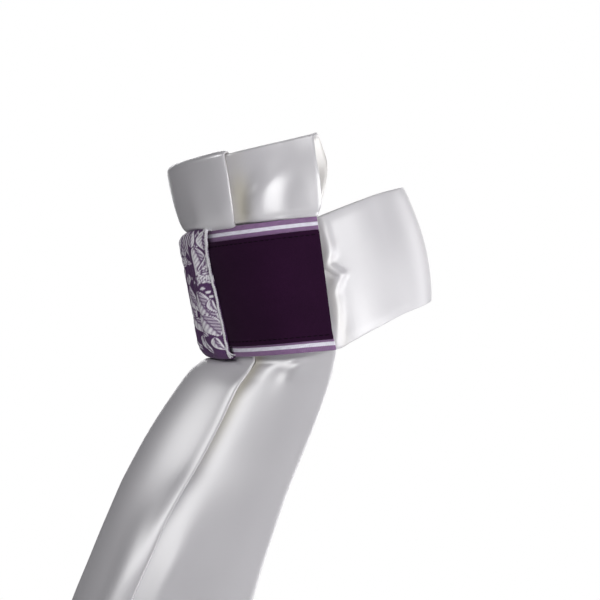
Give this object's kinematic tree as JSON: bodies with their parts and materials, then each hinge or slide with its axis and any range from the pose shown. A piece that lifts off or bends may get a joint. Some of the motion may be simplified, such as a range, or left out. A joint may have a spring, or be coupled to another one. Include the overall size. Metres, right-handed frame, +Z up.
{
  "type": "ready-tied stock tie",
  "caption": "Ready-tied riding stock tie: white satin neck band, pleated frill and fall, aubergine cross band with striped ribbons and a gathered brocade knot.",
  "frame": {"origin": "on the neck's axis, at mid height of the neck band", "axes": "+X towards the wearer's left, -Y to the wearer's front, +Z up; the neck leans 14.2 degrees forward from Z"},
  "size_m": [0.171, 0.2288, 0.2988],
  "materials": {
    "collar_satin": "smooth white satin with a soft sheen",
    "closure_tape": "matt white closing tape",
    "frill_satin": "white satin, the weft running round the neck",
    "fall_satin": "white satin, the highlight running down the cloth",
    "striped_ribbon": "woven ribbon, white stripe between two lilac ones",
    "aubergine_cloth": "matt dark purple cloth with dark topstitching",
    "brocade": "purple and silver-white brocade with scrolling leaves"
  },
  "bodies": {
    "root": {"neck_band": "collar_satin", "closure_pad": "closure_tape", "frill": "frill_satin", "fall": "fall_satin", "top_ribbon": "striped_ribbon", "bottom_ribbon": "striped_ribbon", "cross_panel": "aubergine_cloth", "knot_wrap": "brocade"}
  },
  "joints": []
}
